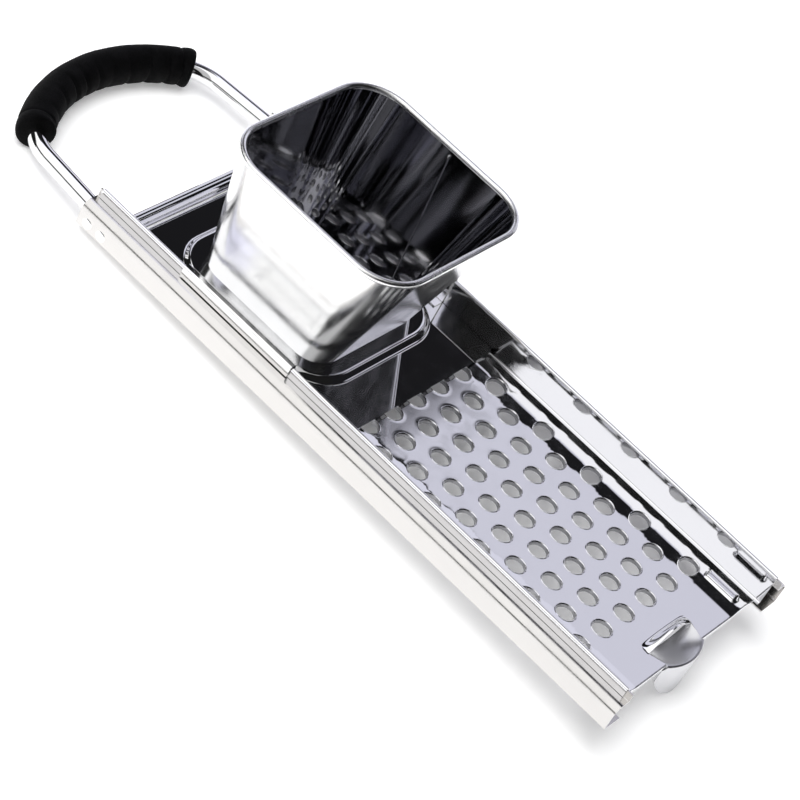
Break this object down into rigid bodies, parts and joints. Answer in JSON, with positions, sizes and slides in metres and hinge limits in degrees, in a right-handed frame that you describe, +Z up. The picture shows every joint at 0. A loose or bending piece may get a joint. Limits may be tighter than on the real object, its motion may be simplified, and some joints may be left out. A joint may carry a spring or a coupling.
{
  "type": "spaetzle maker",
  "caption": "Perforated steel deck between folded side rails with a bent rod handle, a soft sleeve and an open square hopper that slides along the deck.",
  "frame": {"origin": "middle of the overall box in plan, on the level of the pot tongue's tip, which is the lowest point", "axes": "+X along the rails towards the pot hook, +Y to the left of a user who holds the handle, +Z up towards the hopper's rim"},
  "size_m": [0.3215, 0.1098, 0.0807],
  "materials": {
    "polished_steel": "mirror polished stainless sheet",
    "rod_steel": "polished stainless rod",
    "soft_sleeve": "soft matt black sleeve with fine creases"
  },
  "bodies": {
    "track": {"perforated_plate": "polished_steel", "left_rail_cover": "polished_steel", "right_rail_cover": "polished_steel", "handle_rod": "rod_steel", "grip_sleeve": "soft_sleeve", "cross_bar": "rod_steel", "cross_bar_welds": "rod_steel", "rail_spot_welds": "polished_steel"},
    "hopper": {"hopper_cup": "polished_steel", "hopper_rim_wire": "rod_steel", "hopper_base": "polished_steel", "left_guide_clip": "polished_steel", "right_guide_clip": "polished_steel", "clip_spot_welds": "polished_steel"}
  },
  "joints": [
    {"name": "hopper_slide", "type": "slide", "parent": "track", "child": "hopper", "axis": [1, 0, 0], "range_m": [0, 0.1139]}
  ]
}
